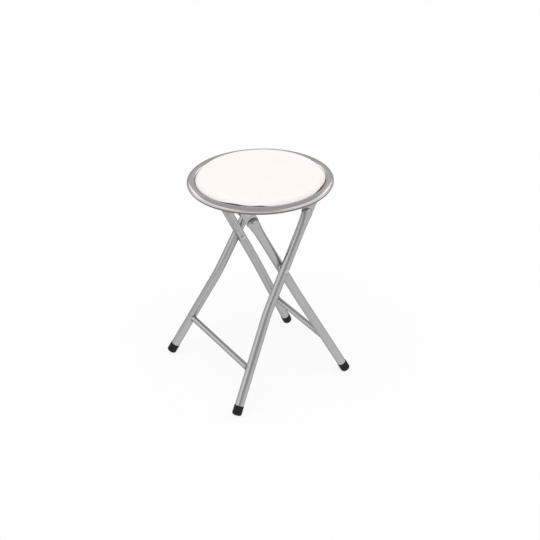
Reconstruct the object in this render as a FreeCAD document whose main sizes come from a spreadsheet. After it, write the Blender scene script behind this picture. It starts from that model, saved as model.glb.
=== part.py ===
"""Round folding stool: two crossing tube frames and a padded seat that swings up as the frames close.

+X is the fold direction, +Y runs along the hinge pins and +Z is up. Left is the +Y side.
"""
import FreeCAD, Part
import math
import os

import Sketcher
from FreeCAD import Placement, Rotation, Vector

# Driving dimensions: name, millimetres or degrees, meaning
DIMENSIONS = [
    ("seat_shift", 5.42, "seat centre ahead of the middle of the whole stool"),
    ("seat_radius", 150.0, "outside of the rim"),
    ("rim_width", 18.7, "radial width of the rim's oval section"),
    ("rim_height", 15.2, "height of the rim's oval section"),
    ("rim_mid_z", 439.2, "middle of the rim above the floor"),
    ("rim_wall", 1.2, "sheet of the rim"),
    ("pan_radius", 137.0, "steel pan, its edge held in the rim"),
    ("pan_underside_z", 433.0, "underside of the pan above the floor"),
    ("pan_wall", 1.2, "sheet of the pan"),
    ("pan_dish_radius", 54.0, "pressed dish in the middle of the pan"),
    ("pan_dish_depth", 2.5, "depth of that dish"),
    ("pan_dish_slope", 4.0, "radial run of the dish's sloping wall"),
    ("board_radius", 129.4, "seat board"),
    ("board_underside_z", 435.7, "underside of the board above the floor"),
    ("board_thickness", 9.0, "seat board"),
    ("cover_wall", 0.8, "vinyl cover"),
    ("cover_margin_radius", 114.0, "inner edge of the margin turned under the board"),
    ("pad_radius", 132.3, "widest part of the pad"),
    ("pad_wide_z", 444.9, "height of the widest part"),
    ("pad_neck_radius", 130.2, "drawn-in side of the pad between rim and board"),
    ("pad_neck_z", 441.0, "top of the drawn-in side"),
    ("pad_shoulder_radius", 123.7, "where the shoulder meets the crown"),
    ("pad_shoulder_z", 453.6, "height of that line"),
    ("pad_top_z", 455.8, "top of the crown"),
    ("pad_flat_radius", 10.0, "level middle of the crown"),
    ("pad_shoulder_bend", 8.8, "radius of the shoulder's section"),
    ("pad_crown_bend", 3400.0, "radius of the crown's section"),
    ("staple_ring", 119.0, "circle of staples in the cover's margin"),
    ("staple_width", 10.0, "staple's crown"),
    ("staple_wire", 0.5, "staple's wire"),
    ("staple_leg", 5.0, "staple's legs"),
    ("tube_radius", 9.5, "leg tube"),
    ("tube_wall", 1.2, "leg tube"),
    ("pivot_x", 1.42, "pivot where the two frames cross"),
    ("pivot_z", 278.1, "height of that pivot"),
    ("outer_lean", 28.475, "outer frame from upright, top towards +X"),
    ("inner_lean", 26.707, "inner frame from upright, top towards -X"),
    ("upper_taper", 3.6, "upper legs converge towards the seat"),
    ("outer_half_width", 98.2, "outer tube's centre line at the pivot"),
    ("inner_half_width", 78.4, "inner tube's centre line at the pivot"),
    ("outer_foot_half_width", 147.6, "outer tube's line at the floor"),
    ("inner_foot_half_width", 121.5, "inner tube's line at the floor"),
    ("outer_knee_drop", 97.0, "bend below the pivot, along the frame"),
    ("inner_knee_drop", 85.0, "bend below the pivot, along the frame"),
    ("outer_knee_bend", 275.0, "radius of that bend"),
    ("inner_knee_bend", 500.0, "radius of that bend"),
    ("outer_lug_rise", 153.5, "hole of the pressed end above the pivot, along the frame"),
    ("inner_lug_rise", 151.0, "hole of the pressed end above the pivot, along the frame"),
    ("lug_half_width", 13.4, "pressed flat end of a tube"),
    ("lug_thickness", 3.2, "pressed flat end of a tube"),
    ("lug_run", 29.0, "straight run of the flat below its hole"),
    ("crossbar_drop", 218.0, "crossbars below the pivot, along the frame"),
    ("crossbar_radius", 6.25, "crossbar tube"),
    ("crossbar_wall", 1.0, "crossbar tube"),
    ("weld_width", 1.3, "weld bead round a crossbar's end"),
    ("weld_length", 3.0, "weld bead along the crossbar"),
    ("foot_radius", 10.25, "rubber foot"),
    ("foot_length", 21.0, "rubber foot, along the leg"),
    ("foot_floor", 6.0, "rubber under the tube's end"),
    ("foot_edge", 4.5, "rounding of the foot's lower edge"),
    ("foot_gap", 0.03, "between tube and foot"),
    ("sole_flat", 0.8, "height pressed flat where a foot meets the floor"),
    ("rivet_radius", 3.0, "pivot and hinge rivets"),
    ("running_gap", 0.05, "radial play of a turning rivet"),
    ("rivet_head_radius", 5.2, "rivet head"),
    ("rivet_head_height", 2.0, "rivet head"),
    ("rivet_head_edge", 0.9, "straight edge of a rivet head"),
    ("rivet_flat_radius", 1.2, "level middle of a rivet head"),
    ("dimple_depth", 0.8, "flat pressed into a tube at the pivot"),
    ("head_dimple_radius", 6.6, "flat under a rivet head"),
    ("washer_dimple_radius", 7.5, "flat under the pivot washer"),
    ("washer_radius", 7.0, "nylon washer"),
    ("turning_gap", 0.2, "side play between turning faces"),
    ("hinge_wall", 2.0, "sheet of the hinge bracket"),
    ("hinge_ear_radius", 11.0, "round lower end of the hinge bracket"),
    ("hinge_foot_length", 38.0, "foot of the hinge bracket along X"),
    ("hinge_foot_width", 24.0, "foot of the hinge bracket along Y"),
    ("hinge_ear_angle", 20.0, "where the ear's round end begins, below its middle"),
    ("hinge_washer", 0.8, "nylon washer in the seat hinge"),
    ("hinge_washer_radius", 10.0, "nylon washer in the seat hinge"),
    ("rod_radius", 5.0, "catch rod between the inner legs"),
    ("rod_end_radius", 4.0, "turned-down ends of the rod"),
    ("rod_head_radius", 6.5, "riveted ends of the rod"),
    ("rod_head_height", 2.0, "riveted ends of the rod"),
    ("hook_wall", 2.0, "sheet of the catch hook"),
    ("hook_inset", 6.0, "hook inside the inner legs' flat ends"),
    ("hook_gap", 0.4, "play round the rod in the hook"),
    ("hook_reach", 15.0, "hook behind the rod, along X"),
    ("hook_front", 19.0, "hook's root ahead of the rod, along X"),
    ("hook_drop", 8.0, "hook's tip below the rod's middle"),
    ("hook_tilt", 27.6, "direction in which the rod leaves the hook, from straight down"),
    ("hook_roof_angle", 45.0, "where the hook's round roof ends ahead of the rod"),
    ("hook_foot_width", 22.0, "foot of the catch hook along Y"),
    ("screw_radius", 2.0, "wood screws"),
    ("screw_head_radius", 4.0, "wood screws"),
    ("screw_head_height", 1.8, "wood screws"),
    ("screw_length", 11.0, "wood screws"),
    ("hinge_screw_spread", 13.0, "screws from the middle of the hinge bracket's foot"),
    ("hook_screw_spread", 10.5, "screws from the middle of the catch hook's foot"),
]

# Pressed tube end and the dome that closes it: drop below the lug's hole, half width, half thickness
PRESS_STATIONS = [
    (76.0, 9.5, 9.5),
    (53.0, 10.2, 9.0),
    (39.0, 11.4, 8.6),
    (28.5, 12.7, 8.0),
    (25.5, 12.2, 7.7),
    (22.5, 10.5, 6.6),
    (20.2, 7.9, 5.0),
    (18.7, 4.8, 3.0),
    (18.0, 1.8, 1.1),
]
DOME_STATION = 3
HOLLOW_STATION = 6
PRESS_CURVE_DEGREE = 3
STAPLE_COUNT = 16
FULL_TURN = 360.0
Y_AXIS = Vector(0, 1, 0)
# Turns a sketch's plane into a frame's own plane: across becomes Y and up runs along the frame
FRAME_PLANE = Rotation(Vector(1, 1, 1), 120)
# Turns an upright pin to lie along +Y
ALONG_Y = Rotation(Vector(1, 0, 0), -90)

doc = FreeCAD.newDocument("folding_stool")
sizes = {name: value for name, value, meaning in DIMENSIONS}
notes = {name: meaning for name, value, meaning in DIMENSIONS}


def derive(name, value, meaning):
    """Adds a dimension worked out from the driving ones."""
    sizes[name] = round(value, 4)
    notes[name] = meaning


for station, (drop, wide, thick) in enumerate(PRESS_STATIONS):
    derive(f"press_drop_{station}", drop, "station of the pressed end below its hole")
    derive(f"press_wide_{station}", wide, "half width there")
    derive(f"press_thick_{station}", thick, "half thickness there")


def derive_frame(frame):
    """Lines of one leg frame, measured along the frame from the pivot."""
    lean = math.radians(sizes[frame + "_lean"])
    taper = math.tan(math.radians(sizes["upper_taper"]))
    floor_drop = sizes["pivot_z"] / math.cos(lean)
    knee = sizes[frame + "_half_width"] + taper * sizes[frame + "_knee_drop"]
    flare = (sizes[frame + "_foot_half_width"] - knee) / (floor_drop - sizes[frame + "_knee_drop"])
    derive(frame + "_floor_drop", floor_drop, "floor below the pivot, along the frame")
    derive(frame + "_knee_half_width", knee, "corner of the bend")
    derive(frame + "_flare", math.degrees(math.atan(flare)), "lower legs spread towards the floor")

    # The foot's rounded edge reaches the floor first, so its middle stands a little higher
    upright = math.cos(lean) * math.cos(math.atan(flare))
    slope = math.sqrt(1.0 - upright ** 2)
    edge = sizes["foot_edge"]
    rise = edge * (1.0 - upright) + (sizes["foot_radius"] - edge) * slope - sizes["sole_flat"]
    foot_drop = floor_drop - rise / math.cos(lean)
    end_drop = foot_drop - sizes["foot_floor"] * math.cos(math.atan(flare))
    derive(frame + "_foot_drop", foot_drop, "middle of the foot's underside below the pivot")
    derive(frame + "_end_drop", end_drop, "tube's lower end below the pivot")
    bar_half_width = knee + flare * (sizes["crossbar_drop"] - sizes[frame + "_knee_drop"])
    derive(frame + "_bar_half_width", bar_half_width, "leg's centre line at the crossbar")
    lug_half_width = sizes[frame + "_half_width"] - taper * sizes[frame + "_lug_rise"]
    derive(frame + "_lug_half_width", lug_half_width, "middle of the pressed flat end")
    lug_z = sizes["pivot_z"] + sizes[frame + "_lug_rise"] * math.cos(lean)
    derive(frame + "_lug_z", lug_z, "height of the pressed end's hole")
    press_rise = sizes[frame + "_lug_rise"] - sizes["press_drop_0"] * math.cos(math.atan(taper))
    derive(frame + "_press_rise", press_rise, "start of pressing above the pivot")


def derive_pivot():
    """Faces and lengths of the rivet and washer where the frames cross."""
    flat = sizes["tube_radius"] - sizes["dimple_depth"]
    gap = sizes["turning_gap"]
    derive("pivot_rivet_low", sizes["inner_half_width"] - flat - gap, "inner head's face")
    derive("pivot_washer_low", sizes["inner_half_width"] + flat + gap, "washer's inner face")
    length = sizes["outer_half_width"] + flat - sizes["pivot_rivet_low"]
    thickness = sizes["outer_half_width"] - flat - sizes["pivot_washer_low"]
    derive("pivot_rivet_length", length, "pivot rivet between its heads")
    derive("pivot_washer_thickness", thickness, "pivot washer")
    dome = sizes["rivet_head_height"] - sizes["rivet_head_edge"]
    reach = sizes["rivet_head_radius"] - sizes["rivet_flat_radius"]
    bend = (reach ** 2 + dome ** 2) / (2 * dome)
    derive("rivet_dome_bend", bend, "radius of a rivet head's dome")


def derive_hinge():
    """Bracket, washer and rivet of the seat hinge."""
    lug_low = sizes["outer_lug_half_width"] - sizes["lug_thickness"] / 2
    face = lug_low - sizes["hinge_washer"] - sizes["turning_gap"]
    rivet_low = face - sizes["hinge_wall"] - sizes["turning_gap"]
    ear = sizes["hinge_ear_radius"]
    angle = math.radians(sizes["hinge_ear_angle"])
    derive("hinge_face", face, "bracket's outer face from the middle plane")
    derive("hinge_rivet_low", rivet_low, "rivet's inner head from the middle plane")
    derive("hinge_rivet_length", lug_low + sizes["lug_thickness"] - rivet_low, "rivet between its heads")
    derive("hinge_ear_height", sizes["pan_underside_z"] - sizes["outer_lug_z"], "hinge below the pan")
    derive("hinge_ear_side", ear * math.cos(angle), "end of the ear's round, along X")
    derive("hinge_ear_low", ear * math.sin(angle), "end of the ear's round, below its middle")


def derive_catch():
    """Catch rod and the hook that rests on it."""
    shoulder = sizes["inner_lug_half_width"] - sizes["lug_thickness"] / 2
    bore = sizes["rod_radius"] + sizes["hook_gap"]
    lean = math.radians(sizes["hook_tilt"])
    roof = math.radians(sizes["hook_roof_angle"])
    wall_z = bore * math.sin(lean)
    tip_x = (sizes["hook_drop"] - wall_z) * math.tan(lean) - bore * math.cos(lean)
    derive("rod_shoulder", shoulder, "rod's shoulder from the middle plane")
    derive("hook_face", shoulder - sizes["hook_inset"], "hook's outer face from the middle plane")
    derive("hook_root_height", sizes["pan_underside_z"] - sizes["inner_lug_z"], "catch rod below the pan")
    derive("hook_bore", bore, "radius of the hook's roof")
    derive("hook_wall_x", bore * math.cos(lean), "where the roof meets the mouth's wall, behind the rod")
    derive("hook_wall_z", wall_z, "the same, below the rod's middle")
    derive("hook_tip_x", tip_x, "inner corner of the hook's tip")
    derive("hook_roof_x", bore * math.cos(roof), "end of the roof ahead of the rod")
    derive("hook_roof_z", bore * math.sin(roof), "the same, above the rod's middle")


derive_frame("outer")
derive_frame("inner")
derive_pivot()
derive_hinge()
derive_catch()

sheet = doc.addObject("Spreadsheet::Sheet", "sizes")
for row, (alias, value) in enumerate(sizes.items(), start=1):
    sheet.set(f"A{row}", alias)
    sheet.set(f"B{row}", str(value))
    sheet.set(f"C{row}", notes[alias])
    sheet.setAlias(f"B{row}", alias)
doc.recompute()


def number(formula):
    """Value of a formula of sheet names and plain numbers, such as "rim_mid_z - rim_height / 2"."""
    total = 0.0
    term = 0.0
    operator = "+"
    for word in formula.split():
        if word in ("+", "-", "*", "/"):
            operator = word
            continue
        value = sizes[word] if word in sizes else float(word)
        if operator in ("+", "-"):
            total += term
            term = value if operator == "+" else -value
        elif operator == "*":
            term *= value
        else:
            term /= value
    return total + term


def expression(formula):
    """The same formula in the sheet's own names."""
    return " ".join("sizes." + word if word in sizes else word for word in formula.split())


def bind(item, **formulas):
    """Ties an object's sizes to the sheet."""
    for size, formula in formulas.items():
        item.setExpression(size, expression(formula))


def place(x=0.0, y=0.0, z=0.0, turn=None):
    return Placement(Vector(x, y, z), turn or Rotation())


def cylinder(name, radius, height, placement):
    item = doc.addObject("Part::Cylinder", name)
    bind(item, Radius=radius, Height=height)
    item.Placement = placement
    return item


def box(name, length, width, height, placement):
    item = doc.addObject("Part::Box", name)
    bind(item, Length=length, Width=width, Height=height)
    item.Placement = placement
    return item


def ellipse(name, major, minor, placement):
    item = doc.addObject("Part::Ellipse", name)
    bind(item, MajorRadius=major, MinorRadius=minor)
    item.Placement = placement
    return item


def fuse(name, pieces):
    item = doc.addObject("Part::MultiFuse", name)
    item.Shapes = pieces
    return item


def group(name, pieces):
    item = doc.addObject("Part::Compound", name)
    item.Links = pieces
    return item


def cut(name, base, *tools):
    for count, tool in enumerate(tools, start=1):
        last = count == len(tools)
        item = doc.addObject("Part::Cut", name if last else f"{name}_cut_{count}")
        item.Base = base
        item.Tool = tool
        base = item
    return base


def mirror(name, source):
    """The same piece on the other side of the stool's middle plane."""
    item = doc.addObject("Part::Mirroring", name)
    item.Source = source
    item.Normal = Y_AXIS
    return item


def origin_plane(body, role):
    return next(feature for feature in body.Origin.OriginFeatures if feature.Role == role)


def arc_through(start, end, bend):
    """Arc from start to end with the given radius, turning left where bend is positive."""
    chord = end - start
    side = Vector(-chord.y, chord.x, 0).normalize() * math.copysign(1.0, bend)
    half = chord.Length / 2
    depth = math.sqrt(max(bend ** 2 - half ** 2, 0.0))
    centre = start + chord * 0.5 + side * depth
    middle = centre - side * abs(bend)
    return Part.Arc(start, middle, end)


def fix_point(sketch, curve, corner, label, across, up):
    """Holds one end of a curve at a formula's place in the sketch."""
    for kind, axis, formula in (("DistanceX", -2, across), ("DistanceY", -1, up)):
        value = number(formula)
        if value == 0:
            sketch.addConstraint(Sketcher.Constraint("PointOnObject", curve, corner, axis))
            continue
        constraint = sketch.addConstraint(Sketcher.Constraint(kind, curve, corner, value))
        sketch.renameConstraint(constraint, f"{label}_{kind}")
        sketch.setExpression(f"Constraints.{label}_{kind}", expression(formula))


def outline(sketch, corners):
    """Closed outline of lines and arcs. A corner is (across, up) or (across, up, bend, side)."""
    points = [Vector(number(corner[0]), number(corner[1]), 0) for corner in corners]
    for index, corner in enumerate(corners):
        start = points[index]
        end = points[(index + 1) % len(points)]
        if len(corner) == 2:
            sketch.addGeometry(Part.LineSegment(start, end), False)
        else:
            sketch.addGeometry(arc_through(start, end, corner[3] * number(corner[2])), False)
    counter_clockwise = [len(corner) == 2 or corner[3] > 0 for corner in corners]
    for index, corner in enumerate(corners):
        following = (index + 1) % len(corners)
        # A sketch stores every arc counter-clockwise, so a right-hand arc ends at its own first point
        this_end = 2 if counter_clockwise[index] else 1
        next_start = 1 if counter_clockwise[following] else 2
        sketch.addConstraint(Sketcher.Constraint("Coincident", index, this_end, following, next_start))
        fix_point(sketch, index, 3 - this_end, f"corner_{index}", corner[0], corner[1])
        if len(corner) == 4:
            bend = sketch.addConstraint(Sketcher.Constraint("Radius", index, number(corner[2])))
            sketch.renameConstraint(bend, f"bend_{index}")
            sketch.setExpression(f"Constraints.bend_{index}", expression(corner[2]))


def sketched_body(name, corners):
    body = doc.addObject("PartDesign::Body", name)
    sketch = body.newObject("Sketcher::SketchObject", name + "_profile")
    sketch.AttachmentSupport = [(origin_plane(body, "XZ_Plane"), "")]
    sketch.MapMode = "FlatFace"
    outline(sketch, corners)
    return body, sketch


def turned(name, corners, placement):
    """A piece turned about its own Z axis from half of its section."""
    body, sketch = sketched_body(name, corners)
    turning = body.newObject("PartDesign::Revolution", name + "_turning")
    turning.Profile = sketch
    turning.ReferenceAxis = (sketch, ["V_Axis"])
    turning.Angle = FULL_TURN
    body.Placement = placement
    return body


def plate(name, corners, thickness, placement):
    """A flat plate in the XZ plane, with its thickness towards -Y."""
    body, sketch = sketched_body(name, corners)
    pad = body.newObject("PartDesign::Pad", name + "_pad")
    pad.Profile = sketch
    bind(pad, Length=thickness)
    body.Placement = placement
    return body


def frame_place(frame):
    """Own axes of a leg frame: origin at the pivot, Z up along the frame."""
    lean = sizes["outer_lean"] if frame == "outer" else -sizes["inner_lean"]
    return place(sizes["pivot_x"], 0, sizes["pivot_z"], Rotation(Y_AXIS, lean))


def tilt(degrees):
    """Leans an upright piece on the left side towards the middle plane."""
    return Rotation(Vector(1, 0, 0), degrees)


def leg_line(frame):
    """Centre line of the left leg of a frame, from its lower end to where pressing begins."""
    taper = math.radians(sizes["upper_taper"])
    flare = math.radians(sizes[frame + "_flare"])
    knee = Vector(sizes[frame + "_knee_half_width"], -sizes[frame + "_knee_drop"], 0)
    up = Vector(-math.sin(taper), math.cos(taper), 0)
    down = Vector(math.sin(flare), -math.cos(flare), 0)
    tangent = sizes[frame + "_knee_bend"] * math.tan((flare - taper) / 2)
    bend_top = knee + up * tangent
    bend_foot = knee + down * tangent
    top = knee + up * ((sizes[frame + "_press_rise"] - knee.y) / up.y)
    lower_end = knee + down * ((-sizes[frame + "_end_drop"] - knee.y) / down.y)
    floor = Vector(sizes[frame + "_foot_half_width"], -sizes[frame + "_floor_drop"], 0)
    pivot = Vector(sizes[frame + "_half_width"], 0, 0)

    line = doc.addObject("Sketcher::SketchObject", frame + "_leg_line")
    line.Placement = frame_place(frame) * place(turn=FRAME_PLANE)
    line.addGeometry(Part.LineSegment(lower_end, bend_foot), False)
    line.addGeometry(arc_through(bend_foot, bend_top, sizes[frame + "_knee_bend"] * -1), False)
    line.addGeometry(Part.LineSegment(bend_top, top), False)
    for point in (pivot, knee, floor):
        line.addGeometry(Part.Point(point), True)
    lower, bend, upper, at_pivot, at_knee, at_floor = range(6)
    constraints = [
        ("Tangent", lower, 2, bend, 2),
        ("Tangent", bend, 1, upper, 1),
        ("PointOnObject", at_pivot, 1, upper),
        ("PointOnObject", at_pivot, 1, -1),
        ("PointOnObject", at_knee, 1, upper),
        ("PointOnObject", at_knee, 1, lower),
        ("PointOnObject", at_floor, 1, lower),
    ]
    for constraint in constraints:
        line.addConstraint(Sketcher.Constraint(*constraint))
    measures = [
        ("half_width", ("DistanceX", at_pivot, 1, pivot.x), frame + "_half_width"),
        ("knee_half_width", ("DistanceX", at_knee, 1, knee.x), frame + "_knee_half_width"),
        ("knee_drop", ("DistanceY", at_knee, 1, knee.y), f"0 - {frame}_knee_drop"),
        ("foot_half_width", ("DistanceX", at_floor, 1, floor.x), frame + "_foot_half_width"),
        ("floor_drop", ("DistanceY", at_floor, 1, floor.y), f"0 - {frame}_floor_drop"),
        ("lower_end", ("DistanceY", lower, 1, lower_end.y), f"0 - {frame}_end_drop"),
        ("press_start", ("DistanceY", upper, 2, top.y), frame + "_press_rise"),
        ("bend", ("Radius", bend, sizes[frame + "_knee_bend"]), frame + "_knee_bend"),
    ]
    for label, constraint, formula in measures:
        line.renameConstraint(line.addConstraint(Sketcher.Constraint(*constraint)), label)
        line.setExpression("Constraints." + label, expression(formula))
    return line, lower_end


def bent_rod(frame, name, radius, line, lower_end):
    """A round rod along a leg's centre line."""
    start = doc.addObject("Part::Circle", name + "_section")
    bind(start, Radius=radius)
    start.Placement = frame_place(frame) * place(0, lower_end.x, lower_end.y, tilt(sizes[frame + "_flare"]))
    rod = doc.addObject("Part::Sweep", name)
    rod.Sections = [start]
    rod.Spine = (line, ["Edge1", "Edge2", "Edge3"])
    rod.Solid = True
    rod.Frenet = False
    return rod


def pressed_end(frame, name, first, last, wall):
    """A run of the tube's upper end, pressed from round to flat through a few oval stations."""
    taper = sizes["upper_taper"]
    ovals = []
    for station in range(first, last + 1):
        rise = sizes[frame + "_lug_rise"] - sizes[f"press_drop_{station}"] * math.cos(math.radians(taper))
        across = sizes[frame + "_half_width"] - rise * math.tan(math.radians(taper))
        where = frame_place(frame) * place(0, across, rise, tilt(taper))
        wide = f"press_wide_{station} - {wall}"
        thick = f"press_thick_{station} - {wall}"
        ovals.append(ellipse(f"{name}_{station}", wide, thick, where))
    loft = doc.addObject("Part::Loft", name)
    loft.Sections = ovals
    loft.Solid = True
    loft.Ruled = False
    loft.MaxDegree = PRESS_CURVE_DEGREE
    return loft


def flat_lug(frame, hole_radius):
    """Flat end with a round tip and its hole, square to the hinge pins."""
    name = frame + "_lug"
    rise = sizes[frame + "_lug_rise"]
    low_face = sizes[frame + "_lug_half_width"] - sizes["lug_thickness"] / 2
    axes = frame_place(frame)
    strip_place = axes * place(-sizes["lug_half_width"], low_face, rise - sizes["lug_run"])
    strip = box(name + "_strip", "2 * lug_half_width", "lug_thickness", "lug_run", strip_place)
    tip_place = axes * place(0, low_face, rise, ALONG_Y)
    tip = cylinder(name + "_tip", "lug_half_width", "lug_thickness", tip_place)
    hole_place = axes * place(0, low_face - sizes["tube_radius"], rise, ALONG_Y)
    hole = cylinder(name + "_hole", hole_radius, "4 * tube_radius", hole_place)
    return fuse(name, [strip, tip]), hole


def pivot_cuts(frame):
    """Hole and pressed flats round the pivot in the left leg of a frame."""
    axes = frame_place(frame)
    middle = sizes[frame + "_half_width"]
    face = sizes["tube_radius"] - sizes["dimple_depth"]
    outside = "head_dimple_radius" if frame == "outer" else "washer_dimple_radius"
    inside = "washer_dimple_radius" if frame == "outer" else "head_dimple_radius"
    through = axes * place(0, middle - 2 * sizes["tube_radius"], 0, ALONG_Y)
    above = axes * place(0, middle + face, 0, ALONG_Y)
    below = axes * place(0, middle - face - sizes["tube_radius"], 0, ALONG_Y)
    return [
        cylinder(frame + "_pivot_hole", "rivet_radius + running_gap", "4 * tube_radius", through),
        cylinder(frame + "_outside_flat", outside, "tube_radius", above),
        cylinder(frame + "_inside_flat", inside, "tube_radius", below),
    ]


def leg_pair(frame, hole_radius):
    """Left and right legs of a frame, and the left leg's full outside for shaping what meets it."""
    line, lower_end = leg_line(frame)
    solid = bent_rod(frame, frame + "_leg_solid", "tube_radius", line, lower_end)
    hollow = bent_rod(frame, frame + "_leg_hollow", "tube_radius - tube_wall", line, lower_end)
    end = pressed_end(frame, frame + "_press", 0, DOME_STATION, "0")
    dome = pressed_end(frame, frame + "_dome", DOME_STATION, len(PRESS_STATIONS) - 1, "0")
    end_hollow = pressed_end(frame, frame + "_press_hollow", 0, DOME_STATION, "tube_wall")
    dome_hollow = pressed_end(frame, frame + "_dome_hollow", DOME_STATION, HOLLOW_STATION, "tube_wall")
    lug, hole = flat_lug(frame, hole_radius)
    outside = fuse(frame + "_leg_outside", [solid, end, dome, lug])
    left = cut(frame + "_leg_left", outside, hollow, end_hollow, dome_hollow, hole, *pivot_cuts(frame))
    right = mirror(frame + "_leg_right", left)
    return left, right, solid


def crossbar(frame, name, leg_solid):
    """Round bar between a frame's legs, shaped to them and welded round."""
    axes = frame_place(frame)
    drop = -sizes["crossbar_drop"]
    half = sizes[frame + "_bar_half_width"]
    length = f"2 * {frame}_bar_half_width"
    bar_place = axes * place(0, -half, drop, ALONG_Y)
    bar = cylinder(name + "_bar", "crossbar_radius", length, bar_place)
    bore = cylinder(name + "_bore", "crossbar_radius - crossbar_wall", length, bar_place)
    weld_start = half - sizes["tube_radius"] + sizes["weld_width"]
    weld = doc.addObject("Part::Cone", name + "_weld")
    bind(weld, Radius1="crossbar_radius + weld_width", Radius2="crossbar_radius",
         Height="weld_width + weld_length")
    weld.Placement = axes * place(0, weld_start, drop, Rotation(Vector(1, 0, 0), 90))
    welded = fuse(name + "_welded", [bar, weld, mirror(name + "_weld_right", weld)])
    return cut(name, welded, bore, leg_solid, mirror(name + "_leg_solid_right", leg_solid))


def foot_pair(frame):
    """Rubber feet that cap the lower ends of a frame's legs, each with a flat sole."""
    corners = [
        ("0", "0"),
        ("foot_radius - foot_edge", "0", "foot_edge", 1),
        ("foot_radius", "foot_edge"),
        ("foot_radius", "foot_length"),
        ("tube_radius + foot_gap", "foot_length"),
        ("tube_radius + foot_gap", "foot_floor"),
        ("0", "foot_floor"),
    ]
    flare = sizes[frame + "_flare"]
    below_knee = sizes[frame + "_foot_drop"] - sizes[frame + "_knee_drop"]
    across = sizes[frame + "_knee_half_width"] + below_knee * math.tan(math.radians(flare))
    where = frame_place(frame) * place(0, across, -sizes[frame + "_foot_drop"], tilt(flare))
    whole = turned(frame + "_foot_whole", corners, where)
    reach = sizes["seat_radius"]
    floor = box(frame + "_foot_floor", "2 * seat_radius", "2 * seat_radius", "seat_radius",
                place(where.Base.x - reach, where.Base.y - reach, -reach))
    left = cut(frame + "_foot_left", whole, floor)
    return left, mirror(frame + "_foot_right", left)


def rivet_corners(length):
    """Half section of a rivet from 0 to length, with a domed head beyond each end."""
    return [
        ("0", "0 - rivet_head_height"),
        ("rivet_flat_radius", "0 - rivet_head_height", "rivet_dome_bend", 1),
        ("rivet_head_radius", "0 - rivet_head_edge"),
        ("rivet_head_radius", "0"),
        ("rivet_radius", "0"),
        ("rivet_radius", length),
        ("rivet_head_radius", length),
        ("rivet_head_radius", f"{length} + rivet_head_edge", "rivet_dome_bend", 1),
        ("rivet_flat_radius", f"{length} + rivet_head_height"),
        ("0", f"{length} + rivet_head_height"),
    ]


def washer(name, radius, thickness, placement):
    """Flat nylon ring round a rivet."""
    disc = cylinder(name + "_disc", radius, thickness, placement)
    hole = cylinder(name + "_hole", "rivet_radius + running_gap", thickness, placement)
    return cut(name, disc, hole)


def cross_pivot():
    """Rivets and washers where the frames cross."""
    rivet_place = place(sizes["pivot_x"], sizes["pivot_rivet_low"], sizes["pivot_z"], ALONG_Y)
    washer_place = place(sizes["pivot_x"], sizes["pivot_washer_low"], sizes["pivot_z"], ALONG_Y)
    rivet = turned("pivot_rivet_left", rivet_corners("pivot_rivet_length"), rivet_place)
    ring = washer("pivot_washer_left", "washer_radius", "pivot_washer_thickness", washer_place)
    return [rivet, mirror("pivot_rivet_right", rivet), ring, mirror("pivot_washer_right", ring)]


def lug_x(frame):
    lean = sizes["outer_lean"] if frame == "outer" else -sizes["inner_lean"]
    return sizes["pivot_x"] + sizes[frame + "_lug_rise"] * math.sin(math.radians(lean))


def screw_group(name, spots):
    """Wood screws from below, each at (x, y, underside z) of what it holds."""
    screws = []
    for index, (x, y, z) in enumerate(spots):
        head_place = place(x, y, z - sizes["screw_head_height"])
        head = cylinder(f"{name}_head_{index}", "screw_head_radius", "screw_head_height", head_place)
        shank = cylinder(f"{name}_shank_{index}", "screw_radius", "screw_length", place(x, y, z))
        screws.append(fuse(f"{name}_{index}", [head, shank]))
    return group(name, screws)


def hinge_bracket():
    """Bracket under the seat's left side that carries the seat hinge, and the tool for its hole."""
    corners = [
        ("0 - hinge_foot_length / 2", "hinge_ear_height"),
        ("0 - hinge_foot_length / 2", "hinge_ear_height - 2 * hinge_wall"),
        ("0 - hinge_ear_side", "0 - hinge_ear_low", "hinge_ear_radius", 1),
        ("hinge_ear_side", "0 - hinge_ear_low"),
        ("hinge_foot_length / 2", "hinge_ear_height - 2 * hinge_wall"),
        ("hinge_foot_length / 2", "hinge_ear_height"),
    ]
    x = lug_x("outer")
    face = sizes["hinge_face"]
    ear = plate("hinge_ear", corners, "hinge_wall", place(x, face, sizes["outer_lug_z"]))
    foot_place = place(x - sizes["hinge_foot_length"] / 2, face - sizes["hinge_foot_width"],
                       sizes["pan_underside_z"] - sizes["hinge_wall"])
    foot = box("hinge_foot", "hinge_foot_length", "hinge_foot_width", "hinge_wall", foot_place)
    hole_place = place(x, face - 2 * sizes["hinge_wall"], sizes["outer_lug_z"], ALONG_Y)
    hole = cylinder("hinge_hole", "rivet_radius + running_gap", "4 * hinge_wall", hole_place)
    return fuse("hinge_bracket_whole", [ear, foot]), hole


def catch_hook():
    """Hook under the seat's left side that rests on the catch rod, open downwards and forwards."""
    corners = [
        ("0 - hook_reach", "hook_root_height"),
        ("0 - hook_reach", "0 - hook_drop / 2"),
        ("0 - hook_reach + hook_drop / 2", "0 - hook_drop"),
        ("hook_tip_x", "0 - hook_drop"),
        ("0 - hook_wall_x", "0 - hook_wall_z", "hook_bore", -1),
        ("hook_roof_x", "hook_roof_z"),
        ("hook_front", "hook_root_height - 2 * hook_wall"),
        ("hook_front", "hook_root_height"),
    ]
    x = lug_x("inner")
    blade = plate("hook_blade", corners, "hook_wall", place(x, sizes["hook_face"], sizes["inner_lug_z"]))
    foot_place = place(x - sizes["hook_reach"], sizes["hook_face"] - sizes["hook_foot_width"],
                       sizes["pan_underside_z"] - sizes["hook_wall"])
    foot = box("hook_foot", "hook_reach + hook_front", "hook_foot_width", "hook_wall", foot_place)
    return fuse("catch_hook_whole", [blade, foot])


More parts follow.
